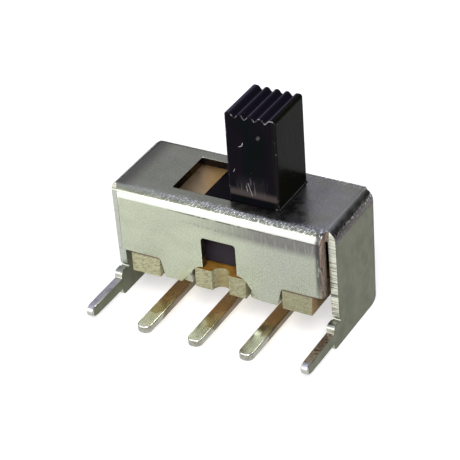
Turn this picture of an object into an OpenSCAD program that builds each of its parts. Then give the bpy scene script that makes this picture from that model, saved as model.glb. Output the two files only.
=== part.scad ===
// Slide switch for edge mounting on a circuit board, single pole, two positions.
// Widths (X) are measured from the middle pin, depths (Y) from the face of the
// circuit board that the switch seats on, and heights (Z) from the pins' centre line.

/* [Metal shell] */
// Length over the two end plates
body_l = 13.1; // [12.4:0.1:16]
// Depth over the front and back walls
body_d = 5.5; // [5.2:0.1:7]
// Height of the front and back walls, from their lower edge to the top face
wall_h = 5; // [4.6:0.1:7]
// Height of the walls' lower edge above the pins' centre line
wall_lift = 1.22; // [1.1:0.01:2]
// Thickness of the sheet
sheet_t = 0.45; // [0.3:0.05:0.5]
// Outside radius of the folds along the front and back
long_fold_r = 0.64; // [0.5:0.02:0.8]
// Outside radius of the folds at the two ends
end_fold_r = 0.64; // [0.5:0.02:0.7]
// Radius of the root of the notch at each corner of the top
notch_r = 0.22; // [0.1:0.02:0.22]
// Height of the metal at the root of each corner notch
notch_root_h = 0.6; // [0.5:0.02:0.64]
// Width of the corner slit between a wall's end and the end plate
slit_w = 0.07; // [0.05:0.01:0.3]
// Radius to which the walls' ends are rolled inwards
wall_end_r = 0.3; // [0.1:0.05:0.3]
// Corner radius of the slot that the knob runs in
slot_r = 0.1; // [0.05:0.05:0.3]

/* [Windows and tongues] */
// Width of the window in the front and back walls
window_w = 2; // [1.4:0.1:2.4]
// Height of the window's top edge above the walls' lower edge
window_h = 3.05; // [2.2:0.05:3.4]
// Radius of the window's upper corners
window_r = 0.18; // [0.05:0.01:0.4]
// Width of the flared mouth below the window
mouth_w = 3.44; // [3.2:0.02:3.8]
// Height of the flared mouth
mouth_h = 1.2; // [1:0.05:1.6]
// Radius of the flared mouth's shoulders
mouth_r = 0.7; // [0.3:0.05:0.75]
// How far the outer side of a tongue leans in towards its lower edge
tongue_lean = 0.28; // [0.05:0.01:0.4]
// Radius of the corner between a tongue and the wall's end
tongue_r = 0.22; // [0.1:0.02:0.3]
// Width of the tongue corner that is crimped against the board
crimp_w = 0.6; // [0.4:0.05:0.7]
// Angle up the mouth's shoulder at which the crimp ends
crimp_reach = 30; // [0:5:50]
// Angle through which the corner is bent in
crimp_angle = 16; // [10:1:35]

/* [Feet and legs] */
// How far the end plates' edges lie inside the faces of the front and back walls
plate_inset = 0.52; // [0.52:0.01:0.7]
// How far the front edge of an end plate lies behind the front wall's face at the shoulder
plate_front = 0.68; // [0.65:0.01:1]
// Depth of the feet below the pins' centre line
foot_drop = 0.73; // [0.5:0.01:1.5]
// Height of the shoulder above the pins' centre line
shoulder_h = 0.77; // [0.6:0.01:1]
// Radius of the shoulder's front corners
shoulder_r = 0.26; // [0.1:0.02:0.32]
// Radius of the relief at the root of the shoulder
relief_r = 0.12; // [0.05:0.01:0.2]
// Radius of the end plates' rear lower corner
heel_r = 0.5; // [0.1:0.05:1]
// Length of the legs in front of the board's face
leg_l = 3.05; // [2:0.05:5]
// Height of the legs
leg_h = 0.64; // [0.45:0.01:0.8]
// Radius of the corners of the legs' tips
leg_tip_r = 0.3; // [0.1:0.02:0.3]

/* [Base board] */
// Thickness of the base board
board_t = 1.2; // [0.8:0.1:1.6]
// How far the board stands below the walls' lower edge
board_drop = 0.1; // [0:0.05:0.3]
// Gap between each end of the board and the end plate
board_end_gap = 0.77; // [0.3:0.01:1]
// Length of the ears at the board's four corners
ear_l = 1.71; // [1.3:0.01:1.9]
// Gap between an ear and the upper part of the tongue beside it
ear_gap = 0.02; // [0.01:0.01:0.1]
// Width of each of the tabs that stand in the flared mouth
tab_w = 1; // [0.6:0.05:1.1]
// Radius of the half-round recess between the tabs
recess_r = 0.5; // [0.3:0.05:0.55]
// Gap between the crimped corners and the board's edge
crimp_gap = 0.02; // [0.01:0.01:0.05]

/* [Terminals] */
// Distance between the pins
pitch = 3; // [2.6:0.1:3.6]
// Width of a pin
pin_w = 0.81; // [0.6:0.01:1]
// Thickness of a pin
pin_t = 0.43; // [0.3:0.01:0.5]
// Length of the pins in front of the board's face
pin_l = 3.24; // [2:0.05:5]
// Radius of the corners of the pins' tips
pin_tip_r = 0.34; // [0.1:0.02:0.38]
// Inside radius of the bend below the base board
bend_r = 0.2; // [0.1:0.05:0.4]
// Gap round a pin in its slot in the base board
pin_gap = 0.02; // [0.01:0.01:0.05]
// Width of the contact blade above the base board
blade_w = 1.1; // [1:0.05:1.3]
// Height of the contact blade above the base board
blade_h = 1.8; // [1.6:0.05:2]
// Width of the bevel on the blade's two upright edges
blade_bevel = 0.14; // [0.05:0.01:0.2]
// Radius of the blade's upper corners
blade_r = 0.25; // [0.1:0.05:0.4]

/* [Slider] */
// How much further than one pitch the slider runs
over_travel = 0.3; // [0:0.05:0.5]
// Length of the knob, along its travel
knob_l = 2.9; // [2.2:0.1:3.4]
// Width of the knob, across its travel
knob_w = 3.12; // [2.4:0.02:3.3]
// Height of the knob above the shell
knob_h = 5.2; // [2:0.05:8]
// Radius of the knob's upright edges
knob_edge_r = 0.12; // [0.05:0.01:0.4]
// Number of grip ridges across the knob
ridges = 5; // [3:1:7]
// Depth of the valleys between the ridges
ridge_h = 0.24; // [0.22:0.01:0.3]
// Radius of each ridge's crest
ridge_r = 0.19; // [0.1:0.01:0.2]
// Gap between the knob and each end of the slot
slot_end_gap = 0.03; // [0.01:0.01:0.2]
// Gap between the knob and each side of the slot
slot_side_gap = 0.06; // [0.02:0.01:0.2]
// Thickness of the slider's end walls, beyond the contact's pocket
slider_end_t = 1.25; // [0.8:0.05:1.4]
// Gap between the slider and the shell's front and back walls
slider_side_gap = 0.3; // [0.05:0.05:0.4]
// Gap between the slider and the shell's top
slider_top_gap = 0.05; // [0.02:0.01:0.15]
// Gap between the slider and the base board
slider_foot_gap = 0.1; // [0.05:0.01:0.2]
// Radius of the slider's upright edges
slider_r = 0.25; // [0.05:0.05:0.5]
// Gap between a blade and the sides of the channel under the slider
channel_gap = 0.22; // [0.1:0.01:0.3]

/* [Moving contact] */
// Thickness of the spring strip
strip_t = 0.16; // [0.1:0.01:0.18]
// Gap between the strip and a blade where the arms pinch in
pinch_gap = 0.03; // [0.02:0.01:0.05]
// Radius of the arms' inward bow
bow_r = 0.7; // [0.5:0.05:0.8]
// Half of the angle that the bow turns through
bow_angle = 44; // [35:1:48]
// Height of the pinch above the base board
pinch_h = 0.95; // [0.85:0.05:1.1]
// Length of each pair of arms, along the travel
arm_l = 1.1; // [0.8:0.05:1.4]
// Gap between a blade's top and the contact's bridge
bridge_gap = 0.15; // [0.05:0.05:0.3]
// Gap between the contact and the sides and ends of its pocket
pocket_gap = 0.03; // [0.01:0.01:0.1]

/* [Hidden] */
$fn = 48;
// Straight steps in each rounded corner of an outline
corner_steps = 6;
// Length by which a cut runs past the face that it opens
past = 1;

// Depth of the middle plane of the body
mid_y = body_d / 2;
// Height of the shell's top face
top_z = wall_lift + wall_h;
// Height of the lower ends of the notches' roots
notch_z = top_z - notch_root_h;
// Half of the length of the front and back walls
wall_end = body_l / 2 - sheet_t - slit_w;

// Base board
board_z = wall_lift - board_drop;
board_top = board_z + board_t;
board_end = body_l / 2 - sheet_t - board_end_gap;
ear_x = board_end - ear_l;
tab_x = recess_r + tab_w;

// Line along which a tongue's inner corner is crimped, in X and Z
crimp_foot = [mouth_w / 2 + crimp_w, wall_lift];
crimp_head = [mouth_w / 2, wall_lift + mouth_h] - mouth_r * [1 - cos(crimp_reach), 1 - sin(crimp_reach)];
crimp_run = (crimp_head - crimp_foot) / norm(crimp_head - crimp_foot);
// Depth at which the crimped corners stop, and the board's edge begins
crimp_depth = crimp_w * crimp_run.y * sin(crimp_angle) + sheet_t * cos(crimp_angle);
board_edge = max(sheet_t, crimp_depth) + crimp_gap;

// Slider at rest, at the right-hand end of its travel
travel = pitch + over_travel;
rest_x = travel / 2;
slot_l = knob_l + travel + 2 * slot_end_gap;
slot_w = knob_w + 2 * slot_side_gap;

// Moving contact and the pocket that holds it
blade_top = board_top + blade_h;
bridge_z = blade_top + bridge_gap;
pinch_z = board_top + pinch_h;
bow_y = pin_t / 2 + pinch_gap + strip_t / 2 + bow_r;
arm_y = bow_y - bow_r * cos(bow_angle);
contact_l = pitch + arm_l;
contact_w = 2 * arm_y + strip_t;
pocket_l = contact_l + 2 * pocket_gap;
pocket_w = contact_w + 2 * pocket_gap;
slider_l = pocket_l + 2 * slider_end_t;
slider_w = body_d - 2 * sheet_t - 2 * slider_side_gap;
slider_z = board_top + slider_foot_gap;
slider_top = top_z - sheet_t - slider_top_gap;

NICKEL = [0.72, 0.73, 0.70];
PHENOLIC = [0.66, 0.47, 0.22];
TINNED = [0.78, 0.77, 0.72];
BLACK = [0.10, 0.09, 0.11];
BRONZE = [0.80, 0.58, 0.34];

// ---- Outlines ----

function unit(v) = v / norm(v);

// Points of the corner b between a and c, rounded to radius r
function rounded_corner(a, b, c, r) =
    let (u = unit(a - b),
         v = unit(c - b),
         half = acos(u * v) / 2,
         centre = b + unit(u + v) * r / sin(half),
         from = b + u * r / tan(half) - centre,
         to = b + v * r / tan(half) - centre,
         start = atan2(from.y, from.x),
         turn = (atan2(to.y, to.x) - start + 540) % 360 - 180)
    [for (i = [0:corner_steps])
        let (angle = start + turn * i / corner_steps) centre + r * [cos(angle), sin(angle)]];

// Points of an outline whose corners are [x, y, radius], or [x, y] where they are sharp
function rounded(corners) =
    let (n = len(corners), p = [for (c = corners) [c[0], c[1]]])
    [for (i = [0:n - 1])
        each (len(corners[i]) < 3 ? [p[i]]
              : rounded_corner(p[(i + n - 1) % n], p[i], p[(i + 1) % n], corners[i][2]))];

// Rectangle centred on X with its lower side on the X axis and its upper corners rounded
module arch(w, h, r) {
    translate([-w / 2, 0]) square([w, h - r]);
    if (r > 0) {
        translate([r - w / 2, 0]) square([w - 2 * r, h]);
        for (side = [-1, 1]) translate([side * (w / 2 - r), h - r]) circle(r);
    }
}

// Rectangle centred on the origin with all four corners rounded
module pad(l, w, r) {
    square([l, w - 2 * r], center = true);
    square([l - 2 * r, w], center = true);
    for (x = [-1, 1], y = [-1, 1]) translate([x * (l / 2 - r), y * (w / 2 - r)]) circle(r);
}

// Quarter of a bent strip from pointing down (+X side) to pointing along -X
module bend(inside_r, t) {
    intersection() {
        difference() {
            circle(inside_r + t);
            circle(inside_r);
        }
        translate([0, -inside_r - t]) square(inside_r + t);
    }
}

// Stands an outline drawn in X and Z upright, from depth y0 to y1
module across(y0, y1) {
    translate([0, y1, 0]) rotate([90, 0, 0]) linear_extrude(y1 - y0) children();
}

// Stands an outline drawn in Y and Z upright, from width x0 to x1
module along(x0, x1) {
    translate([x0, 0, 0]) rotate([90, 0, 90]) linear_extrude(x1 - x0) children();
}

// Copies of the front right-hand feature at all four corners of the body
module four_ways() {
    for (back = [0, 1], left = [0, 1])
        translate([0, back * body_d, 0]) mirror([0, back, 0]) mirror([left, 0, 0]) children();
}

// ---- Metal shell ----

// Solid under the folded sheet's outer face, or under its inner face when inset by the sheet
module folded_block(inset) {
    intersection() {
        across(inset, body_d - inset)
            translate([0, wall_lift]) arch(body_l - 2 * inset, wall_h - inset, max(0, end_fold_r - inset));
        along(inset - body_l / 2, body_l / 2 - inset)
            translate([mid_y, wall_lift])
                arch(body_d - 2 * inset, wall_h - inset, max(0, long_fold_r - inset));
    }
}

// Rounded root of the front right-hand notch, which parts the wall's end from the end plate
module notch_root() {
    translate([wall_end, plate_inset - notch_r, notch_z]) linear_extrude(notch_root_h)
        difference() {
            translate([-wall_end_r, 0]) square([wall_end_r + notch_r, notch_r]);
            translate([notch_r, 0]) circle(notch_r);
        }
}

// Top with its folds and notched corners, and the two long walls below it
module folded_cover() {
    difference() {
        intersection() {
            folded_block(0);
            union() {
                translate([0, mid_y, wall_lift])
                    linear_extrude(wall_h) pad(2 * wall_end, body_d, wall_end_r);
                translate([-body_l / 2, plate_inset, top_z - end_fold_r])
                    cube([body_l, body_d - 2 * plate_inset, end_fold_r]);
                four_ways() notch_root();
            }
        }
        translate([0, 0, -past]) folded_block(sheet_t);
        folded_block(sheet_t);
    }
}

// Everything below and on the inner side of the right-hand crimp line
module crimp_zone() {
    polygon([crimp_foot - crimp_run * past, crimp_head, [0, crimp_head.y], [0, wall_lift - past]]);
}

// Window with its flared mouth
module window_outline() {
    translate([0, wall_lift - past]) {
        arch(window_w, window_h + past, window_r);
        arch(mouth_w, mouth_h + past, mouth_r);
    }
}

// Notch between the right-hand tongue and the wall's end, which the board's ear fills
module ear_notch() {
    tongue_x = ear_x - ear_gap;
    polygon(rounded([
        [tongue_x - tongue_lean, wall_lift - past],
        [tongue_x - tongue_lean, wall_lift],
        [tongue_x, board_top, tongue_r],
        [body_l, board_top],
        [body_l, wall_lift - past]
    ]));
}

// Corner of a tongue, bent in against the board
module crimped_corner() {
    hinge = [crimp_foot.x, 0, crimp_foot.y];
    translate(hinge) rotate(a = -crimp_angle, v = [crimp_run.x, 0, crimp_run.y]) translate(-hinge)
        across(0, sheet_t)
            difference() {
                intersection() {
                    crimp_zone();
                    translate([0, wall_lift]) square([crimp_foot.x, mouth_h]);
                }
                window_outline();
            }
}

// Side view of an end plate with its foot, seating shoulders and solder leg
module end_plate_outline() {
    rear = body_d - plate_inset;
    difference() {
        polygon(rounded([
            [plate_inset, top_z - end_fold_r],
            [plate_front, shoulder_h],
            [0, shoulder_h, shoulder_r],
            [0, leg_h / 2],
            [-leg_l, leg_h / 2, leg_tip_r],
            [-leg_l, -leg_h / 2, leg_tip_r],
            [0, -leg_h / 2],
            [0, -foot_drop, shoulder_r],
            [rear, -foot_drop, heel_r],
            [rear, top_z - end_fold_r]
        ]));
        translate([plate_front, shoulder_h]) circle(relief_r);
    }
}

module shell() {
    color(NICKEL) {
        difference() {
            folded_cover();
            across(-past, body_d + past) {
                window_outline();
                for (side = [0, 1]) mirror([side, 0]) {
                    ear_notch();
                    crimp_zone();
                }
            }
            translate([0, mid_y, top_z - sheet_t - past])
                linear_extrude(sheet_t + 2 * past) pad(slot_l, slot_w, slot_r);
        }
        four_ways() crimped_corner();
        for (side = [0, 1]) mirror([side, 0, 0])
            along(body_l / 2 - sheet_t, body_l / 2) end_plate_outline();
    }
}

// ---- Base board ----

module board_outline() {
    difference() {
        translate([-board_end, 0]) square([2 * board_end, body_d]);
        for (side = [-1, 1], edge = [0, body_d])
            translate([side * (tab_x + ear_x) / 2, edge])
                square([ear_x - tab_x, 2 * board_edge], center = true);
        for (edge = [0, body_d]) translate([0, edge]) circle(recess_r);
        for (i = [-1:1])
            translate([i * pitch, mid_y]) square([pin_w + 2 * pin_gap, pin_t + 2 * pin_gap], center = true);
    }
}

module base_board() {
    color(PHENOLIC) translate([0, 0, board_z]) linear_extrude(board_t) board_outline();
}

// ---- Terminals ----

// Side view of a pin: forward under the board, round the bend and up through the board
module pin_side() {
    back = mid_y + pin_t / 2;
    outer_r = bend_r + pin_t;
    translate([-pin_l, -pin_t / 2]) square([pin_l + back - outer_r, pin_t]);
    translate([back - outer_r, outer_r - pin_t / 2]) bend(bend_r, pin_t);
    translate([mid_y - pin_t / 2, outer_r - pin_t / 2]) square([pin_t, board_top - outer_r + pin_t / 2]);
}

// Plan of a pin, with the corners of its tip rounded
module pin_plan() {
    polygon(rounded([
        [-pin_w / 2, -pin_l, pin_tip_r],
        [pin_w / 2, -pin_l, pin_tip_r],
        [pin_w / 2, body_d],
        [-pin_w / 2, body_d]
    ]));
}

// Plan of a blade, bevelled where the moving contact slides on to it
module blade_plan() {
    edge_t = pin_t / 2 - blade_bevel;
    half = blade_w / 2;
    flat = half - 2 * blade_bevel;
    polygon([
        [-half, -edge_t], [-flat, -pin_t / 2], [flat, -pin_t / 2], [half, -edge_t],
        [half, edge_t], [flat, pin_t / 2], [-flat, pin_t / 2], [-half, edge_t]
    ]);
}

// One terminal: a strip with a blade that stands on the board and a pin that leaves below it
module terminal(x) {
    color(TINNED) translate([x, 0, 0]) {
        intersection() {
            along(-pin_w / 2, pin_w / 2) pin_side();
            translate([0, 0, -pin_t]) linear_extrude(board_top + 2 * pin_t) pin_plan();
        }
        intersection() {
            translate([0, mid_y, board_top]) linear_extrude(blade_h) blade_plan();
            across(0, body_d) translate([0, board_top]) arch(blade_w, blade_h, blade_r);
        }
    }
}

module terminal_left() { terminal(-pitch); }
module terminal_centre() { terminal(0); }
module terminal_right() { terminal(pitch); }

// ---- Slider ----

// One grip ridge: a round crest with straight flanks down to the valleys
module ridge(w) {
    crest = ridge_h - ridge_r;
    reach = norm([w / 2, crest]);
    lean = atan2(w / 2, crest) - acos(ridge_r / reach);
    touch = [ridge_r * sin(lean), crest + ridge_r * cos(lean)];
    polygon([[-w / 2, 0], [-touch.x, touch.y], touch, [w / 2, 0]]);
    translate([0, crest]) circle(ridge_r);
}

// Front view of the knob, from its root in the slider to the ridges on its top
module knob_front() {
    ridge_w = knob_l / ridges;
    root_z = slider_top - ridge_h;
    valley_z = top_z + knob_h - ridge_h;
    intersection() {
        union() {
            translate([-knob_l / 2, root_z]) square([knob_l, valley_z - root_z]);
            for (i = [0:ridges - 1])
                translate([(i + 0.5) * ridge_w - knob_l / 2, valley_z]) ridge(ridge_w);
            for (side = [0, 1]) mirror([side, 0])
                translate([(knob_l - ridge_w) / 2, valley_z]) square([ridge_w / 2, ridge_h]);
        }
        translate([0, root_z]) arch(knob_l, top_z + knob_h - root_z, ridge_r);
    }
}

module slider() {
    color(BLACK) translate([rest_x, 0, 0]) {
        difference() {
            translate([0, mid_y, slider_z])
                linear_extrude(slider_top - slider_z) pad(slider_l, slider_w, slider_r);
            translate([0, mid_y, bridge_z / 2])
                cube([slider_l + 2 * past, pin_t + 2 * channel_gap, bridge_z], center = true);
            translate([0, mid_y, (bridge_z + strip_t) / 2])
                cube([pocket_l, pocket_w, bridge_z + strip_t], center = true);
        }
        intersection() {
            across(0, body_d) knob_front();
            translate([0, mid_y, 0]) linear_extrude(top_z + 2 * knob_h) pad(knob_l, knob_w, knob_edge_r);
        }
    }
}

// ---- Moving contact ----

// Section of one arm: down from the bridge, then bowed in to pinch a blade
module arm_section() {
    bow_top = pinch_z + bow_r * sin(bow_angle);
    translate([arm_y - strip_t / 2, bow_top]) square([strip_t, bridge_z + strip_t - bow_top]);
    translate([arm_y, bow_top]) circle(strip_t / 2);
    translate([bow_y, pinch_z]) intersection() {
        difference() {
            circle(bow_r + strip_t / 2);
            circle(bow_r - strip_t / 2);
        }
        polygon([[0, 0], for (end = [1, -1]) -2 * bow_r * [cos(bow_angle), -end * sin(bow_angle)]]);
    }
}

module moving_contact() {
    color(BRONZE) translate([rest_x, mid_y, 0]) {
        translate([-contact_l / 2, -contact_w / 2, bridge_z]) cube([contact_l, contact_w, strip_t]);
        for (end = [-1, 1], face = [0, 1]) mirror([0, face, 0])
            along(end * pitch / 2 - arm_l / 2, end * pitch / 2 + arm_l / 2) arm_section();
    }
}

shell();
base_board();
terminal_left();
terminal_centre();
terminal_right();
slider();
moving_contact();
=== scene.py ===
"""Looks of the slide switch: rounded edges, finishes, floor, light and camera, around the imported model."""

import math

import bmesh
import bpy
from mathutils import Matrix, Vector
from mathutils.bvhtree import BVHTree


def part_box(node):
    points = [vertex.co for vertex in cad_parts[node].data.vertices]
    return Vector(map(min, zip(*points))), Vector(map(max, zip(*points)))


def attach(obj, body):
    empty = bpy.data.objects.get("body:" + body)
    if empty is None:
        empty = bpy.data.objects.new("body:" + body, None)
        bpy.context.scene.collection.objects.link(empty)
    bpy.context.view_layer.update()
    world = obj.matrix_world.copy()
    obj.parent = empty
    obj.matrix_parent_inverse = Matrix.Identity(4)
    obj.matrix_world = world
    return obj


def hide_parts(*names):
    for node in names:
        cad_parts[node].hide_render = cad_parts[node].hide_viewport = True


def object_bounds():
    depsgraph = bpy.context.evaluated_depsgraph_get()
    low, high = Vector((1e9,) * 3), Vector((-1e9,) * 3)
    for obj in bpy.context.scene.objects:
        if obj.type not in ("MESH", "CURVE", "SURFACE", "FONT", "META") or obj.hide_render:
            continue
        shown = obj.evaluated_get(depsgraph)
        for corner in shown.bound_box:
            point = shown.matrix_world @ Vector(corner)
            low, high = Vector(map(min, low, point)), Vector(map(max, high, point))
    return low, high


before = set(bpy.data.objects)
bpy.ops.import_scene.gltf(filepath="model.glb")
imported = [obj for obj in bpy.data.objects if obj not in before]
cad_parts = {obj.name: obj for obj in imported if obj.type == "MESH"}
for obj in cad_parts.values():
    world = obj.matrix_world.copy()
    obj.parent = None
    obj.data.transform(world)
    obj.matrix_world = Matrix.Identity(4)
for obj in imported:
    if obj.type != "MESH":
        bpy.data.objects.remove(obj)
cad_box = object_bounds()
MM = 0.001

# ---- Sizes and places on the switch, in millimetres ----
# X is measured from the middle pin, Y from the circuit board's face and Z from the pins' centre line

SHELL_LOW, SHELL_HIGH = (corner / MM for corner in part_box("shell"))
BOARD_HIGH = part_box("base_board")[1] / MM
SLIDER_LOW, SLIDER_HIGH = (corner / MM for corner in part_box("slider"))

# Shell: thickness of the sheet, outside radius of its folds, and width of the slits at the long walls' ends
SHEET = 0.45
FOLD_R = 0.64
SLIT = 0.07
TOP = SHELL_HIGH.z
BACK = BOARD_HIGH.y
MIDDLE_Y = BACK / 2
INNER_X = SHELL_HIGH.x - SHEET
INNER_Z = TOP - SHEET
WALL_END = INNER_X - SLIT
# How deep the notches at the top's corners reach, and how far the slot and the windows from the middle
NOTCH_DEPTH = 0.6
SLOT_REACH = 5
WINDOW_REACH = 1.2
# Height below the windows' rounded corners
WINDOW_SIDE_Z = 4
# Where the legs begin, where the right-hand one's brown ends near its tip, and the shoulders' height
LEG_ROOT = -0.1
LEG_BROWN_END = SHELL_LOW.y + 0.45
SHOULDER_Z = 0.8
# Allowance where a point is tested against a face
HAIR = 0.01

# Knob: its size along and across its travel, and the width of each of its five ridges
KNOB_L = 2.9
KNOB_W = 3.12
RIDGE_W = KNOB_L / 5
KNOB_LEFT = (SLIDER_LOW.x + SLIDER_HIGH.x - KNOB_L) / 2
KNOB_FRONT = MIDDLE_Y - KNOB_W / 2
RIDGES_Z = SLIDER_HIGH.z - 0.47
BASE_FRONT = SLIDER_LOW.y

# ---- Colours, as linear red, green and blue ----

NICKEL = (0.405, 0.435, 0.325)
# Painted shade: the nickel darker towards the right
NICKEL_RIGHT_SHADE = (0.315, 0.33, 0.285)
NICKEL_DULL = (0.315, 0.34, 0.26)
NICKEL_DARK = (0.15, 0.143, 0.135)
# Painted highlight along the long folds
NICKEL_HIGHLIGHT = (0.82, 0.83, 0.77)
NICKEL_FLECK = (0.96, 0.95, 0.94)
# The top's painted light and shade: lighter on the left and at the right end, purple near the knob
TOP_LEFT_LIGHT = (0.44, 0.46, 0.39)
TOP_RIGHT_SHADE = (0.30, 0.29, 0.32)
TOP_END_LIGHT = (0.45, 0.44, 0.47)
# The end plates' nickel, darker than the long walls': painted shade
PLATE_SHADE = (0.112, 0.12, 0.073)
PLATE_DULL_SHADE = (0.098, 0.106, 0.066)
# Painted shade on the long walls' rolled ends
ROLLED_SHADE = (0.05, 0.045, 0.045)
# Near black and brown for cut edges, also used for painted shade at the end folds, the slot and the tabs
SHADE_AND_CUT_BLACK = (0.045, 0.036, 0.034)
CUT_AND_SHADE_BROWN = (0.20, 0.155, 0.125)
TIN = (1.0, 1.0, 0.92)
TIN_DULL = (0.84, 0.83, 0.71)
# Browner tin near the board: tarnish, and a painted reflection of the board
TIN_BROWN = (1.0, 0.83, 0.46)
# Darker copy of the tin for the pins' sheared sides: painted shade
SHEARED_SHADE = (0.34, 0.34, 0.29)
SHEARED_DULL_SHADE = (0.24, 0.23, 0.18)
SHEARED_BROWN_SHADE = (0.17, 0.13, 0.08)
BLACK = (0.0014, 0.0026, 0.0028)
BLACK_PURPLE = (0.0042, 0.0024, 0.0052)
# Painted light on the knob's right end
BLACK_RIGHT_LIT = (0.005, 0.005, 0.003)
# Painted light on the slider inside the shell
BLACK_INSIDE_LIGHT = (0.005, 0.004, 0.006)
# Painted light on the slider's front, seen through the windows
SLIDER_FRONT_LIGHT = (0.026, 0.021, 0.026)
# The knob ridges' painted shade and painted light
RIDGE_SHADED = (0.007, 0.006, 0.010)
RIDGE_LIT = (0.042, 0.036, 0.056)
SCUFF = (0.16, 0.14, 0.15)
# Painted reflection of the fold in the knob's front
REFLECTION_WARM = (0.17, 0.13, 0.12)
NICK = (0.34, 0.34, 0.34)
WORN_BLACK = (0.006, 0.005, 0.008)
WORN_AND_GLINT_GREY = (0.20, 0.185, 0.20)
PAPER = (0.62, 0.62, 0.615)
PAPER_GREY = (0.61, 0.61, 0.61)
PAPER_GLOW = 0.52


# ---- Materials: every length in them is in millimetres ----

def add_node(tree, kind, inputs=None, **settings):
    """A new shader node. An input is a number, a colour or the output of another node."""
    node = tree.nodes.new("ShaderNode" + kind)
    for setting, value in settings.items():
        setattr(node, setting, value)
    for socket, value in (inputs or {}).items():
        if isinstance(value, bpy.types.NodeSocket):
            tree.links.new(value, node.inputs[socket])
        else:
            node.inputs[socket].default_value = value
    return node


class Paint:
    """The node tree of one material around its Principled shader."""

    def __init__(self, name, colour, roughness, metallic=0.0, **sockets):
        self.material = bpy.data.materials.new(name)
        self.material.use_nodes = True
        self.tree = self.material.node_tree
        self.shader = self.tree.nodes["Principled BSDF"]
        self.shader.inputs["Base Color"].default_value = (*colour, 1)
        self.shader.inputs["Roughness"].default_value = roughness
        self.shader.inputs["Metallic"].default_value = metallic
        for socket, value in sockets.items():
            self.shader.inputs[socket.replace("_", " ")].default_value = value
        place = self.node("TexCoord").outputs["Object"]
        self.place = self.node("VectorMath", {0: place, "Scale": 1 / MM}, operation="SCALE").outputs[0]
        self.x, self.y, self.z = self.node("SeparateXYZ", {0: self.place}).outputs

    def node(self, kind, inputs=None, **settings):
        return add_node(self.tree, kind, inputs, **settings)

    def noise(self, scale, detail=3.0, stretch=(1, 1, 1), turn=(0, 0, 0), warp=0.0):
        """Noise with about scale grains to a millimetre, drawn out along an axis where stretch is small."""
        spin = [math.radians(angle) for angle in turn]
        place = self.node("Mapping", {0: self.place, "Rotation": spin}).outputs[0]
        place = self.node("Mapping", {0: place, "Scale": stretch}).outputs[0]
        inputs = {"Vector": place, "Scale": scale, "Detail": detail, "Distortion": warp}
        return self.node("TexNoise", inputs).outputs["Fac"]

    def ramp(self, value, start, end, low=0.0, high=1.0):
        """Goes smoothly from low, where value is at start, to high, where it is at end."""
        inputs = {"Value": value, "From Min": start, "From Max": end, "To Min": low, "To Max": high}
        return self.node("MapRange", inputs, interpolation_type="SMOOTHSTEP").outputs[0]

    def band(self, value, start, full, fading, end):
        """Grows from 0 to 1 between start and full, and falls back to 0 between fading and end."""
        return self.times(self.ramp(value, start, full), self.ramp(value, end, fading))

    def maths(self, operation, a, b=0.0):
        return self.node("Math", {0: a, 1: b}, operation=operation).outputs[0]

    def times(self, *values):
        """The product of two or more values."""
        result = values[0]
        for value in values[1:]:
            result = self.maths("MULTIPLY", result, value)
        return result

    def most(self, *values):
        """The largest of two or more values."""
        result = values[0]
        for value in values[1:]:
            result = self.maths("MAXIMUM", result, value)
        return result

    def stroke(self, across, up, start, end, half):
        """1 along a straight scratch between two (across, up) points, and 0 from half a width beside it."""
        start, end = Vector((*start, 0)), Vector((*end, 0))
        line = end - start
        flat = self.node("CombineXYZ", {0: across, 1: up}).outputs[0]
        away = self.node("VectorMath", {0: flat, 1: start}, operation="SUBTRACT").outputs[0]
        along = self.node("VectorMath", {0: away, 1: line / line.length_squared}, operation="DOT_PRODUCT")
        along = self.node("Clamp", {0: along.outputs["Value"]}).outputs[0]
        nearest = self.node("VectorMath", {0: line, "Scale": along}, operation="SCALE").outputs[0]
        off = self.node("VectorMath", {0: away, 1: nearest}, operation="DISTANCE").outputs["Value"]
        return self.ramp(off, half, half * 0.3)

    def mix(self, share, a, b):
        """Colour b laid over colour a by share."""
        a, b = (c if isinstance(c, bpy.types.NodeSocket) else (*c, 1) for c in (a, b))
        return self.node("Mix", {0: share, 6: a, 7: b}, data_type="RGBA").outputs[2]

    def coats(self, colour, *layers):
        """Lays (share, colour) layers over a colour, one after another."""
        for share, coat in layers:
            colour = self.mix(share, colour, coat)
        return colour

    def surface(self, colour, roughness=None):
        """Links a colour, and a roughness if there is one, that vary over the surface."""
        self.tree.links.new(colour, self.shader.inputs["Base Color"])
        if roughness is not None:
            self.tree.links.new(roughness, self.shader.inputs["Roughness"])

    def relief(self, *layers):
        """Bump from (height, depth in mm) layers, one on another."""
        normal = None
        for height, depth in layers:
            inputs = {"Height": height, "Distance": depth * MM, "Strength": 1.0}
            if normal is not None:
                inputs["Normal"] = normal
            normal = self.node("Bump", inputs).outputs[0]
        self.tree.links.new(normal, self.shader.inputs["Normal"])


def scaled(colour, factor):
    return [factor * channel for channel in colour]


def upper_folds(paint, down):
    """The upper half of the two long folds, the more so to the right."""
    off_middle = paint.maths("ABSOLUTE", paint.maths("SUBTRACT", paint.y, MIDDLE_Y))
    return paint.times(paint.ramp(off_middle, MIDDLE_Y - 0.8, MIDDLE_Y - 0.6),
                       paint.band(down, -0.02, 0.03, 0.22, 0.32), paint.ramp(paint.x, -6.0, -0.5, 0.05, 1.0))


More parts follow.
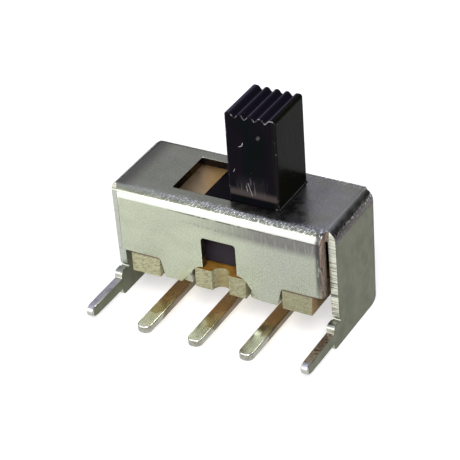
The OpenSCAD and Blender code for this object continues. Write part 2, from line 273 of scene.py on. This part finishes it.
def fold_marks(paint, down, streaks, crumbs):
    """Layers on and below the long folds: a painted highlight band, a thin broken line, a smudge and a
    trail.
    """
    # A painted highlight in a band along the folds
    painted_highlight = paint.band(down, 0.22, 0.37, 0.61, 0.66)
    line = paint.times(paint.band(down, 0.62, 0.65, 0.69, 0.72), paint.ramp(paint.noise(2.2, 3), 0.40, 0.52),
                       paint.ramp(paint.x, -4.0, -1.0))
    # The smudge is streaky and grows to the right
    smudge = paint.times(paint.band(down, 0.60, 0.67, 1.17, 1.74),
                         paint.ramp(streaks, 0.25, 0.55, 0.55, 1.0),
                         paint.band(paint.x, -2.5, 3.5, WALL_END + 0.02, WALL_END + 0.06))
    trail = paint.times(paint.band(down, 1.07, 1.20, 1.27, 1.36), paint.ramp(crumbs, 0.45, 0.6),
                        paint.band(paint.x, -3.0, -1.0, 1.5, 3.5))
    return ((paint.times(painted_highlight, 0.6), NICKEL_HIGHLIGHT), (paint.times(line, 0.9), SHADE_AND_CUT_BLACK),
            (paint.times(smudge, 0.9), NICKEL_DARK), (paint.times(trail, 0.45), NICKEL_DARK))


def painted_end_shade(paint, down, streaks, crumbs):
    """Painted shade at the ends: a dark band on the long walls' rolled right-hand ends, and dark specks on
    the folds past them.
    """
    past_right = paint.maths("SUBTRACT", paint.x, WALL_END)
    past_left = paint.maths("SUBTRACT", -WALL_END, paint.x)
    # Painted shade: a dark band down the long walls' rolled right-hand ends
    rolled = paint.times(paint.band(past_right, -0.48, -0.26, 0.03, 0.07), paint.ramp(down, 0.05, 0.09),
                         paint.ramp(down, 4.62, 2.42, 0.25, 1.0),
                         paint.most(paint.ramp(streaks, 0.2, 0.5), paint.ramp(down, 0.77, 0.62)))
    uneven = paint.ramp(crumbs, 0.2, 0.8, -0.14, 0.14)
    # Painted shade, with specks, on the folds past the long walls' ends
    right_fold_shade = paint.times(paint.ramp(past_right, 0.07, 0.17),
                             paint.band(paint.maths("SUBTRACT", down, uneven), 0.18, 0.42, 0.70, 0.82))
    left_fold_shade = paint.times(paint.ramp(paint.maths("SUBTRACT", past_left, uneven), 0.02, 0.22),
                            paint.ramp(down, 0.72, 0.62))
    shade_specks = paint.mix(paint.ramp(crumbs, 0.56, 0.72), SHADE_AND_CUT_BLACK, CUT_AND_SHADE_BROWN)
    return ((paint.times(rolled, 0.92), ROLLED_SHADE),
            (paint.times(paint.most(right_fold_shade, left_fold_shade), 0.95), shade_specks))


def nickel_plate(name, bright, right, dull, roughness):
    """Nickel over rolled steel: fine grain, soft smudges and the marks that folding left on it, with painted
    light, shade and highlights.
    """
    paint = Paint(name, bright, roughness, 1.0)
    grain = paint.noise(13, 4)
    cloud = paint.noise(0.9, 4, (0.5, 1, 1))
    streaks = paint.noise(7, 4, (1, 1, 0.16))
    crumbs = paint.noise(8, 3)
    drag = paint.noise(13, 3, (1.4, 0.5, 0.5), (0, 0, 38), 0.3)
    down = paint.maths("SUBTRACT", TOP, paint.z)
    top = paint.ramp(down, 0.07, 0.02)
    past_walls = paint.maths("SUBTRACT", paint.maths("ABSOLUTE", paint.x), WALL_END)
    shaded_end_plates = paint.times(paint.ramp(past_walls, 0.05, 0.09), paint.ramp(down, 0.32, 0.52))
    dragged = upper_folds(paint, down)
    colour = paint.coats(
        bright,
        # Painted shade: the nickel darker towards the right
        (paint.ramp(paint.x, 0.0, 4.0), right),
        # Painted light and shade on the top: darker and purple towards the knob, a painted reflection of it,
        (paint.times(top, paint.ramp(paint.x, -2.5, 2.5)), TOP_RIGHT_SHADE),
        # lighter on the left and again near the right end
        (paint.times(top, paint.ramp(paint.x, 2.0, -3.0)), TOP_LEFT_LIGHT),
        (paint.times(top, paint.ramp(paint.x, 4.0, 5.6, 0.0, 0.8)), TOP_END_LIGHT),
        (paint.ramp(cloud, 0.35, 0.7, 0.0, 0.6), dull),
        (paint.ramp(grain, 0.42, 0.68, 0.0, 0.4), dull),
        (paint.ramp(paint.noise(16, 2), 0.48, 0.62, 0.0, 0.4), scaled(bright, 1.4)),
        # Painted shade: the end plates darker than the long walls
        (shaded_end_plates, PLATE_SHADE),
        # Painted shade along the top's left end, beside the fold
        (paint.times(top, paint.ramp(paint.x, -4.9, -5.9, 0.0, 0.8)), NICKEL_DARK),
        *fold_marks(paint, down, streaks, crumbs),
        *painted_end_shade(paint, down, streaks, crumbs),
        # Slanting drag marks with bright flecks between them
        (paint.times(paint.ramp(drag, 0.46, 0.38), dragged, 0.55), NICKEL_DARK),
        (paint.times(paint.ramp(drag, 0.54, 0.60), dragged), NICKEL_FLECK))
    paint.surface(colour, paint.ramp(paint.noise(1.6, 4), 0.3, 0.75, roughness - 0.05, roughness + 0.08))
    paint.relief((grain, 0.004), (paint.times(drag, dragged), 0.018), (cloud, 0.004))
    return paint.material


def cut_nickel(name, ribs_to_mm, bright, dark, depth, share=1.0):
    """A sheared edge of the plated sheet; ribs_to_mm counts the fine ribs in it along each axis."""
    paint = Paint(name, bright, 0.34, 1.0)
    ribs = paint.noise(1, 3, ribs_to_mm)
    patch = paint.ramp(paint.noise(1.3, 2), 0.35, 0.6, 0.5, 1.0)
    colour = paint.mix(paint.times(paint.ramp(ribs, 0.52, 0.40), patch, share), bright, dark)
    paint.surface(colour, paint.ramp(ribs, 0.3, 0.7, 0.45, 0.28))
    paint.relief((ribs, depth), (paint.noise(14, 3), 0.003))
    return paint.material


def inner_nickel():
    """Shell's inside, dull tan, browner near the slider: painted light and a painted reflection of the
    board.
    """
    pale, brown, deep_brown = (0.83, 0.66, 0.48), (0.68, 0.52, 0.36), (0.66, 0.38, 0.10)
    paint = Paint("inner nickel, painted light", pale, 0.5, 0.1)
    paint.surface(paint.coats(pale, (paint.ramp(paint.noise(1.1, 4), 0.3, 0.7), brown),
                              (paint.ramp(paint.x, -4.2, -2.6, 0.0, 0.75), deep_brown)))
    paint.relief((paint.noise(9, 3), 0.006))
    return paint.material


def laminate():
    """Glossy face of the phenolic board, with faint paper fibres in it."""
    amber, brown, deep_brown = (0.30, 0.155, 0.026), (0.21, 0.105, 0.018), (0.17, 0.075, 0.012)
    paint = Paint("laminate face", amber, 0.22, Coat_Weight=0.4, Coat_Roughness=0.1)
    fibres = paint.noise(5, 4, (0.4, 1, 1), warp=0.6)
    paint.surface(paint.coats(amber, (paint.ramp(fibres, 0.35, 0.7), brown),
                              (paint.ramp(paint.noise(0.8, 3), 0.4, 0.7, 0.0, 0.5), deep_brown)))
    paint.relief((fibres, 0.006))
    return paint.material


def torn_laminate(name, pale, dark):
    """Punched edge of the board: torn fibres in flat layers, and painted light that makes it paler to the
    left.
    """
    paint = Paint(name, pale, 0.75)
    layers = paint.noise(5.5, 4, (0.6, 0.6, 1.2), (0, 25, 0), 0.5)
    crumbs = paint.noise(11, 4)
    across = paint.maths("ABSOLUTE", paint.x)
    down = paint.maths("SUBTRACT", BOARD_HIGH.z, paint.z)
    # Painted shade: a dark line where the shell's wall meets a side tab, and darker olive in the middle
    # tab's groove
    wall_shade = paint.times(paint.ramp(across, 2.4, 2.6), paint.ramp(down, 0.12, 0.04))
    groove_shade = paint.times(paint.ramp(across, 0.5, 0.3), paint.ramp(down, 0.02, 0.12))
    # Painted light: paler to the left, darker to the right
    pale = paint.mix(paint.ramp(paint.x, -4.5, 4.5), scaled(pale, 1.16), scaled(pale, 0.82))
    paint.surface(paint.coats(dark, (paint.ramp(layers, 0.30, 0.60), pale),
                              (paint.ramp(crumbs, 0.55, 0.75, 0.0, 0.6), (0.56, 0.53, 0.40)),
                              (paint.times(wall_shade, 0.8), SHADE_AND_CUT_BLACK),
                              (paint.times(groove_shade, 0.6), (0.20, 0.15, 0.05))))
    paint.relief((layers, 0.05), (crumbs, 0.02))
    return paint.material


def tinned_brass(name, tin, dull, brown_tin):
    """Bright tin at the pins' tips, browner near the board: tarnish, and a painted reflection of the brown
    board.
    """
    paint = Paint(name, tin, 0.2, 1.0)
    cloud = paint.noise(1.3, 4, (1, 0.6, 1))
    streaks = paint.noise(7, 3, (1, 0.12, 1))
    # The brown ends unevenly, and further from the tip on the right-hand pin
    edge = paint.maths("ADD", paint.y, paint.ramp(cloud, 0.2, 0.8, -0.6, 0.6))
    edge = paint.maths("ADD", edge, paint.ramp(paint.x, 0.5, 2.5, 0.0, -0.35))
    brown_tin = paint.mix(paint.ramp(edge, -1.2, -0.4), scaled(brown_tin, 0.6), brown_tin)
    # Browner towards the board: tarnish, and a painted reflection of the board
    colour = paint.coats(tin, (paint.ramp(streaks, 0.35, 0.7), dull),
                         (paint.ramp(edge, -1.85, -1.55, 0.0, 0.9), brown_tin))
    paint.surface(colour, paint.ramp(cloud, 0.3, 0.7, 0.16, 0.3))
    paint.relief((streaks, 0.006), (paint.noise(2.5, 3), 0.012))
    return paint.material


def ridge_light_and_shade(paint, across, up):
    """A layer on the knob's ridges, painted light and shade: each ridge paler along the left side of its
    crest.
    """
    ridges = paint.times(paint.ramp(paint.y, KNOB_FRONT + 0.01, KNOB_FRONT + 0.05),
                         paint.ramp(across, KNOB_L - 0.205, KNOB_L - 0.23), paint.ramp(up, 4.68, 4.78))
    turn = paint.times(paint.maths("SUBTRACT", across, 0.28 * RIDGE_W), 2 * math.pi / RIDGE_W)
    return ridges, paint.mix(paint.ramp(paint.maths("COSINE", turn), -0.2, 0.8), RIDGE_SHADED, RIDGE_LIT)


def front_nicks(paint, across, up):
    """One curved nick and a few straight ones in the knob's front face."""
    nick_x = paint.maths("SUBTRACT", across, 0.73)
    nick_z = paint.maths("SUBTRACT", up, 3.58)
    reach = paint.maths("SQRT", paint.maths("ADD", paint.times(nick_x, nick_x), paint.times(nick_z, nick_z)))
    off_arc = paint.maths("ABSOLUTE", paint.maths("SUBTRACT", reach, 0.25))
    arc = paint.times(paint.ramp(off_arc, 0.024, 0.008), paint.ramp(nick_x, 0.0, 0.03),
                      paint.ramp(nick_z, 0.04, 0.0))
    return paint.most(arc, paint.stroke(across, up, (0.36, 1.78), (0.44, 1.94), 0.018),
                      paint.stroke(across, up, (1.16, 1.26), (1.38, 0.56), 0.016),
                      paint.stroke(across, up, (1.04, 1.08), (1.12, 0.76), 0.011))


def black_plastic():
    """Moulded black plastic: faint flow, bright flecks, and scratches and nicks on the knob's front."""
    paint = Paint("black plastic", BLACK, 0.2, Specular_IOR_Level=0.02)
    flow = paint.noise(1.2, 4, (1, 1, 0.4))
    rubs = paint.ramp(paint.noise(8, 2, (1, 1, 0.12), (2, 3, 0)), 0.60, 0.68)
    across = paint.maths("SUBTRACT", paint.x, KNOB_LEFT)
    up = paint.maths("SUBTRACT", paint.z, TOP)
    front = paint.ramp(paint.y, KNOB_FRONT + 0.05, KNOB_FRONT + 0.02)
    side = paint.ramp(across, KNOB_L - 0.26, KNOB_L - 0.20)
    base_front = paint.times(paint.ramp(paint.y, BASE_FRONT + 0.1, BASE_FRONT + 0.02),
                             paint.ramp(up, -0.22, -0.72))
    # The front's foot is rubbed. A light broken line low on the knob's right end is a painted highlight of
    # the slot's rim
    foot = paint.times(front, paint.band(up, 0.48, 0.68, 0.98, 1.88), paint.band(across, 0.3, 0.8, 1.9, 2.4))
    # A painted reflection of the fold: a warm light band low on the knob's front
    fold_reflection = paint.times(front, paint.band(up, 0.36, 0.52, 0.62, 0.98))
    slot_rim_highlight = paint.times(paint.ramp(across, KNOB_L - 0.22, KNOB_L - 0.20),
                       paint.band(up, 0.0, 0.02, 0.06, 0.09), paint.ramp(paint.noise(5, 2), 0.3, 0.45))
    spot = paint.stroke(across, up, (1.86, 4.02), (1.92, 4.10), 0.16)
    colour = paint.coats(
        BLACK,
        (paint.ramp(flow, 0.3, 0.7), BLACK_PURPLE),
        # Painted light: the knob's right end lighter and olive
        (side, BLACK_RIGHT_LIT),
        (paint.times(slot_rim_highlight, 0.8), SCUFF),
        ridge_light_and_shade(paint, across, up),
        # Painted light on the slider from just above the top down into the shell
        (paint.ramp(up, 0.18, -0.32), BLACK_INSIDE_LIGHT),
        # Painted light on the slider's front, seen through the windows
        (base_front, SLIDER_FRONT_LIGHT),
        (paint.times(foot, 0.05), SCUFF),
        (paint.times(fold_reflection, 0.24), REFLECTION_WARM),
        (paint.times(rubs, foot, 0.35), SCUFF),
        (paint.ramp(paint.noise(6, 2), 0.76, 0.79, 0.0, 0.8), SCUFF),
        (paint.times(front, spot, spot, spot, 0.32), SCUFF),
        (paint.times(front, front_nicks(paint, across, up)), NICK))
    paint.surface(colour, paint.ramp(flow, 0.3, 0.7, 0.14, 0.26))
    paint.relief((paint.noise(6, 3), 0.004), (rubs, 0.002), (flow, 0.008))
    return paint.material


def worn_and_glinting_plastic(name, least, most):
    """The same plastic along the knob's edges, rubbed grey and painted with glints, where a noise passes
    from least to most.
    """
    paint = Paint(name, BLACK, 0.35, Specular_IOR_Level=0.05)
    paint.surface(paint.mix(paint.ramp(paint.noise(5.5, 3), least, most), WORN_BLACK, WORN_AND_GLINT_GREY))
    paint.relief((paint.noise(12, 3), 0.01))
    return paint.material


def spring_bronze():
    """Rolled spring strip, lightly tarnished."""
    bronze, tarnish = (0.80, 0.52, 0.28), (0.58, 0.34, 0.16)
    paint = Paint("spring bronze", bronze, 0.25, 1.0)
    lines = paint.noise(8, 3, (0.08, 1, 1))
    paint.surface(paint.mix(paint.ramp(lines, 0.35, 0.7), bronze, tarnish))
    paint.relief((lines, 0.004))
    return paint.material


def pale_floor():
    """Pale paper with a light shadow, white to the eye and in reflections."""
    paint = Paint("pale floor", PAPER, 0.8, Specular_IOR_Level=0.0, Emission_Color=(1, 1, 1, 1))
    paint.surface(paint.mix(paint.noise(0.6, 3), PAPER, PAPER_GREY))
    rays = paint.node("LightPath").outputs
    seen = paint.most(rays["Is Camera Ray"], rays["Is Glossy Ray"], rays["Is Transmission Ray"])
    paint.tree.links.new(paint.times(seen, PAPER_GLOW), paint.shader.inputs["Emission Strength"])
    return paint.material


# ---- Pieces: CAD nodes with their edges rounded ----

# Points closer than this, in metres, become one, and so do faces that meet at less than this angle
WELD = 2e-7
FLAT_ANGLE = 0.01
# Edges sharper than this are rounded
SHARP_ANGLE = math.radians(30)
# A point overshoots where it lies further from the CAD surface than this share of the radius
STRAY = 0.5


def rounded_copy(node, name, radius, steps=3, stays_sharp=None, first=None, first_radius=0.0, first_steps=5):
    """A new object: a CAD node's form, with edges of that radius in mm, but for those that stay sharp.

    Edges that first(edge) picks are rounded before the rest, to a larger radius. Where that lies far from
    the CAD surface, the second round brings it back.
    """
    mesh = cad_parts[node].data.copy()
    mesh.materials.clear()
    shape = bmesh.new()
    shape.from_mesh(mesh)
    bmesh.ops.remove_doubles(shape, verts=shape.verts, dist=WELD)
    bmesh.ops.dissolve_degenerate(shape, dist=WELD, edges=shape.edges)
    bmesh.ops.dissolve_limit(shape, angle_limit=FLAT_ANGLE, verts=shape.verts, edges=shape.edges)
    skin = BVHTree.FromBMesh(shape)
    if first:
        round_edges(shape, skin, first_radius * MM, first_steps, first)
    round_edges(shape, skin, radius * MM, steps, lambda edge: not (stays_sharp and stays_sharp(edge)))
    bmesh.ops.remove_doubles(shape, verts=shape.verts, dist=WELD)
    for face in shape.faces:
        face.smooth = True
    shape.to_mesh(mesh)
    shape.free()
    mesh.set_sharp_from_angle(angle=SHARP_ANGLE)
    mesh.name = name
    piece = bpy.data.objects.new(name, mesh)
    bpy.context.scene.collection.objects.link(piece)
    return piece


def round_edges(shape, skin, radius, steps, chosen):
    """Rounds the sharp edges that chosen(edge) picks, then brings points that overshoot back to the skin."""
    sharp = [edge for edge in shape.edges if edge.calc_face_angle(0) > SHARP_ANGLE and chosen(edge)]
    bmesh.ops.bevel(shape, geom=sharp, offset=radius, segments=steps, profile=0.5, affect="EDGES",
                    clamp_overlap=False, loop_slide=True, miter_outer="ARC")
    for vertex in shape.verts:
        nearest, _, _, distance = skin.find_nearest(vertex.co)
        if distance > STRAY * radius:
            vertex.co = nearest


def finish_piece(piece, node, body, slot, *materials):
    """Even shading on flat faces, then the piece takes the CAD node's place."""
    for material in materials:
        piece.data.materials.append(material)
    flat = piece.modifiers.new("even normals", "WEIGHTED_NORMAL")
    flat.weight = 100
    flat.keep_sharp = True
    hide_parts(node)
    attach(piece, body)


def paint_faces(piece, choose):
    """Gives each face the material whose number choose(face) returns."""
    for face in piece.data.polygons:
        face.material_index = choose(face)


def within(value, low, high):
    return low < value < high


# Shell. A normal's part along an axis is 1 where a face looks along that axis, and 0 where it looks aside

def wall_depth(at):
    """How far a point lies behind the outer face of the nearer long wall."""
    return min(at.y, BACK - at.y)


def crowded(at):
    """Where small forms crowd together and rounding would fold faces over each other."""
    across, depth, down = abs(at.x), wall_depth(at), TOP - at.z
    past_inside = across - INNER_X
    notch_root = within(past_inside, -0.15, 0.10) and depth < 0.70 and within(down, 0.50, 0.72)
    notch_side = within(past_inside, -0.20, 0.10) and depth < 0.50 and down < 0.32
    fold_end = within(past_inside, -0.40, -0.05) and depth < 0.20 and within(down, 0.20, 0.62)
    mouth_corner = within(across, 1.50, 1.95) and depth < SHEET + HAIR and within(at.z, 1.80, 2.05)
    return notch_root or notch_side or fold_end or mouth_corner


def on_crimp(face):
    """The long walls' lower corners are bent in about a slanting line, so their faces point askew."""
    askew = within(abs(face.normal.z), 0.02, 0.98) and within(abs(face.normal.y), 0.5, 0.995)
    return askew and face.calc_center_median().z / MM < BOARD_HIGH.z


def hidden_or_fine(edge):
    """The shell's inner edges, its crimped corners and its crowded small forms stay sharp."""
    at = (edge.verts[0].co + edge.verts[1].co) / 2 / MM
    within_walls = abs(at.x) < INNER_X - 2 * HAIR and wall_depth(at) > SHEET - 2 * HAIR
    inside = within_walls and at.z < INNER_Z + 2 * HAIR
    return inside or crowded(at) or any(on_crimp(face) for face in edge.link_faces)


def on_leg_tip(edge):
    """Edges wholly in front of the circuit board's face, which a leg's long edges reach back to."""
    return all(vertex.co.y / MM < -2 * HAIR for vertex in edge.verts)


# The shell's finishes, in the order of its materials
SHELL_FINISHES = ("outside", "plate", "ribbed", "smooth", "browned", "inside", "right leg", "left leg",
                  "shaded slot")


def shell_finish(face):
    """The name of the finish that a face of the shell takes."""
    at, way = face.center / MM, face.normal
    depth = wall_depth(at)
    on_plate = abs(at.x) > WALL_END + HAIR
    at_notch = at.z > TOP - FOLD_R and abs(at.x) > WALL_END - 3 * HAIR and depth < NOTCH_DEPTH
    on_slot = at.z > INNER_Z and depth > 0.5 and abs(at.x) < SLOT_REACH and abs(way.z) < 0.4
    if on_plate and at.z < TOP - FOLD_R:
        return plate_finish(at, way)
    if at_notch and abs(way.z) < 0.5:
        return "ribbed" if abs(way.y) > 0.95 else "browned"
    if not on_plate and depth > SHEET - HAIR and at.z < INNER_Z + HAIR:
        return "inside"
    if not on_plate and abs(way.x) > 0.55 and abs(at.x) > BOARD_HIGH.x:
        return "browned"
    # The slot's cut edges are painted near black: painted shade over their own darker cut
    if on_slot:
        return "shaded slot"
    if abs(at.x) < WINDOW_REACH and abs(way.y) < 0.4 and at.z < WINDOW_SIDE_Z:
        return "browned"
    return "smooth" if not on_plate and abs(way.y) < 0.3 and at.z < INNER_Z - 0.1 else "outside"


def plate_finish(at, way):
    """The finish of a face of an end plate, its foot, its shoulder or its leg."""
    if abs(way.x) > 0.4 and (at.y > LEG_ROOT or abs(way.x) > 0.9):
        return "plate"
    if at.y < LEG_ROOT:
        if way.z <= 0.3:
            return "smooth"
        return "right leg" if at.x > 0 and at.y > LEG_BROWN_END else "left leg"
    return "ribbed" if at.x > 0 and at.z > SHOULDER_Z and way.y < 0 else "smooth"


shell = rounded_copy("shell", "folded_shell", 0.035, stays_sharp=hidden_or_fine,
                     first=on_leg_tip, first_radius=0.15)
paint_faces(shell, lambda face: SHELL_FINISHES.index(shell_finish(face)))
finish_piece(shell, "shell", "housing", "nickel_plate",
             nickel_plate("nickel plate", NICKEL, NICKEL_RIGHT_SHADE, NICKEL_DULL, 0.28),
             nickel_plate("nickel plate, shaded ends", PLATE_SHADE, PLATE_SHADE, PLATE_DULL_SHADE, 0.42),
             cut_nickel("cut nickel, ribbed", ribs_to_mm=(0.6, 1.2, 14), depth=0.02,
                        bright=(0.61, 0.62, 0.51), dark=(0.10, 0.09, 0.08)),
             cut_nickel("cut nickel, smooth", ribs_to_mm=(0.6, 9, 5), depth=0.004,
                        bright=(0.40, 0.42, 0.36), dark=(0.32, 0.33, 0.28), share=0.5),
             cut_nickel("cut nickel, browned", ribs_to_mm=(1, 14, 3), depth=0.01,
                        bright=CUT_AND_SHADE_BROWN, dark=SHADE_AND_CUT_BLACK),
             inner_nickel(),
             cut_nickel("cut nickel, right leg", ribs_to_mm=(4, 7, 4), depth=0.012,
                        bright=(0.62, 0.50, 0.38), dark=(0.22, 0.17, 0.14)),
             cut_nickel("cut nickel, left leg", ribs_to_mm=(3, 1.5, 3), depth=0.004,
                        bright=(0.64, 0.64, 0.65), dark=(0.36, 0.34, 0.38), share=0.7),
             cut_nickel("cut nickel, sooty", ribs_to_mm=(3, 5, 3), depth=0.006,
                        bright=(0.10, 0.07, 0.05), dark=SHADE_AND_CUT_BLACK))


# Base board

def board_finish(face):
    """0 glossy faces, 1 torn front and back edges, 2 browner ends."""
    if abs(face.normal.z) > 0.6:
        return 0
    return 2 if abs(face.normal.x) > 0.8 and abs(face.center.x / MM) > BOARD_HIGH.x - 0.05 else 1


board = rounded_copy("base_board", "punched_board", 0.03, steps=2)
paint_faces(board, board_finish)
finish_piece(board, "base_board", "housing", "phenolic_board", laminate(),
             torn_laminate("torn laminate", pale=(0.265, 0.262, 0.155), dark=(0.17, 0.155, 0.08)),
             torn_laminate("cut laminate", pale=(0.44, 0.29, 0.14), dark=(0.27, 0.165, 0.07)))


# Terminals, whose sheared sides take a darker copy of the tin: painted shade

tinned = tinned_brass("tinned brass", TIN, TIN_DULL, TIN_BROWN)
sheared = tinned_brass("tinned brass, sheared, shaded", SHEARED_SHADE, SHEARED_DULL_SHADE, SHEARED_BROWN_SHADE)
for side in ("left", "centre", "right"):
    pin = rounded_copy("terminal_" + side, "pin_" + side, 0.07)
    paint_faces(pin, lambda face: int(abs(face.normal.z) < 0.35))
    finish_piece(pin, "terminal_" + side, "housing", "tinned_brass", tinned, sheared)


# Slider and its contact

def knob_finish(face):
    """0 all faces, 1 the worn front edge of the ridges, 2 the knob's less worn front corners; both with
    painted glints.
    """
    at, way = face.center / MM, face.normal
    rounded = max(abs(way.x), abs(way.y), abs(way.z)) < 0.98
    if at.z < TOP + 0.3 or at.y > KNOB_FRONT + 0.06 or way.y > -0.2 or not rounded:
        return 0
    return 1 if at.z > RIDGES_Z else 2


knob = rounded_copy("slider", "moulded_slider", 0.045)
paint_faces(knob, knob_finish)
finish_piece(knob, "slider", "slider", "black_plastic", black_plastic(),
             worn_and_glinting_plastic("black plastic, worn, glinting", least=0.47, most=0.64),
             worn_and_glinting_plastic("black plastic, rubbed, glinting", least=0.62, most=0.78))
contact = rounded_copy("moving_contact", "sprung_contact", 0.012, steps=2)
finish_piece(contact, "moving_contact", "slider", "spring_bronze", spring_bronze())


# ---- Floor, light and camera ----

# The surroundings' colours; 1 is white
CEILING = (0.64, 0.64, 0.84)
FRONT_SIDE, BRIGHT_PATCH = (0.55, 0.55, 0.55), (1.9, 1.9, 1.88)
BACK_RIGHT, BACK_LEFT = (0.05, 0.045, 0.06), (0.47, 0.455, 0.50)

# The photograph's view: angles in degrees, lens in mm on a sensor 36 mm wide
VIEW_AZIMUTH, VIEW_ELEVATION, VIEW_ROLL = 30.58, 32.87, -4.08
VIEW_TARGET = Vector((0.208, 1.02, 4.464)) * MM
VIEW_DISTANCE = 109.17 * MM
VIEW_LENS = 165.37

MIDDLE = (cad_box[0] + cad_box[1]) / 2
FLOOR_REACH = 1.5


def studio():
    """Surroundings, bright low at the front left, pale behind on the left and dark behind on the right.

    The thresholds are parts of a direction of length 1: x to the right, y to the back and z up.
    """
    world = bpy.data.worlds.new("studio")
    bpy.context.scene.world = world
    world.use_nodes = True
    tree = world.node_tree

    def ramp(value, start, end, kind="LINEAR"):
        inputs = {"Value": value, "From Min": start, "From Max": end}
        return add_node(tree, "MapRange", inputs, interpolation_type=kind).outputs[0]

    def times(a, b):
        return add_node(tree, "Math", {0: a, 1: b}, operation="MULTIPLY").outputs[0]

    way = add_node(tree, "TexCoord").outputs["Generated"]
    x, y, z = add_node(tree, "SeparateXYZ", {0: way}).outputs
    left_behind = times(ramp(x, 0.32, -0.02), ramp(z, 0.2, 0.5))
    patch = times(ramp(z, 0.62, 0.40, "SMOOTHSTEP"), ramp(x, 0.35, -0.05))
    patch = times(patch, ramp(y, -0.3, -0.6, "SMOOTHSTEP"))
    layers = ((left_behind, BACK_LEFT), (ramp(z, 0.70, 0.77), CEILING), (ramp(y, 0.0, -0.75), FRONT_SIDE),
              (patch, BRIGHT_PATCH))
    glow = (*BACK_RIGHT, 1)
    for share, colour in layers:
        glow = add_node(tree, "Mix", {0: share, 6: glow, 7: (*colour, 1)}, data_type="RGBA").outputs[2]
    tree.links.new(glow, tree.nodes["Background"].inputs["Color"])


def direction(azimuth, elevation):
    """Towards a place at those angles in degrees; azimuth is from the front towards the right."""
    az, el = math.radians(azimuth), math.radians(elevation)
    return Vector((math.sin(az) * math.cos(el), -math.cos(az) * math.cos(el), math.sin(el)))


def facing(way):
    """The turn that makes a lamp or camera look back along a direction."""
    return way.to_track_quat("Z", "Y").to_matrix().to_4x4()


def lamp(name, azimuth, elevation, distance, width, height, power):
    """A soft lamp aimed at the middle of the switch; lengths in metres, power in watts."""
    data = bpy.data.lights.new(name, "AREA")
    data.shape = "RECTANGLE"
    data.size, data.size_y = width, height
    data.energy = power
    light = bpy.data.objects.new(name, data)
    light.visible_camera = False
    way = direction(azimuth, elevation)
    light.matrix_world = Matrix.Translation(MIDDLE + way * distance) @ facing(way)
    bpy.context.scene.collection.objects.link(light)


def photo_camera():
    """High from the front right through a long lens, turned a little clockwise."""
    data = bpy.data.cameras.new("photo view")
    data.sensor_width = 36
    data.lens = VIEW_LENS
    data.clip_start = 5 * MM
    camera = bpy.data.objects.new("photo view", data)
    way = direction(VIEW_AZIMUTH, VIEW_ELEVATION)
    turn = facing(way) @ Matrix.Rotation(math.radians(VIEW_ROLL), 4, "Z")
    camera.matrix_world = Matrix.Translation(VIEW_TARGET + way * VIEW_DISTANCE) @ turn
    bpy.context.scene.collection.objects.link(camera)
    bpy.context.scene.camera = camera


def floor():
    """A wide sheet under the feet."""
    far, height = FLOOR_REACH, SHELL_LOW.z * MM
    corners = [(-far, -far, height), (far, -far, height), (far, far, height), (-far, far, height)]
    mesh = bpy.data.meshes.new("floor")
    mesh.from_pydata(corners, [], [(0, 1, 2, 3)])
    mesh.materials.append(pale_floor())
    sheet = bpy.data.objects.new("floor", mesh)
    bpy.context.scene.collection.objects.link(sheet)


floor()
studio()
lamp("soft key", azimuth=30, elevation=48, distance=0.35, width=0.16, height=0.16, power=0.95)
lamp("low panel", azimuth=-27, elevation=7, distance=0.030, width=0.030, height=0.018, power=0.0030)
photo_camera()
bpy.context.scene.view_settings.view_transform = "Standard"
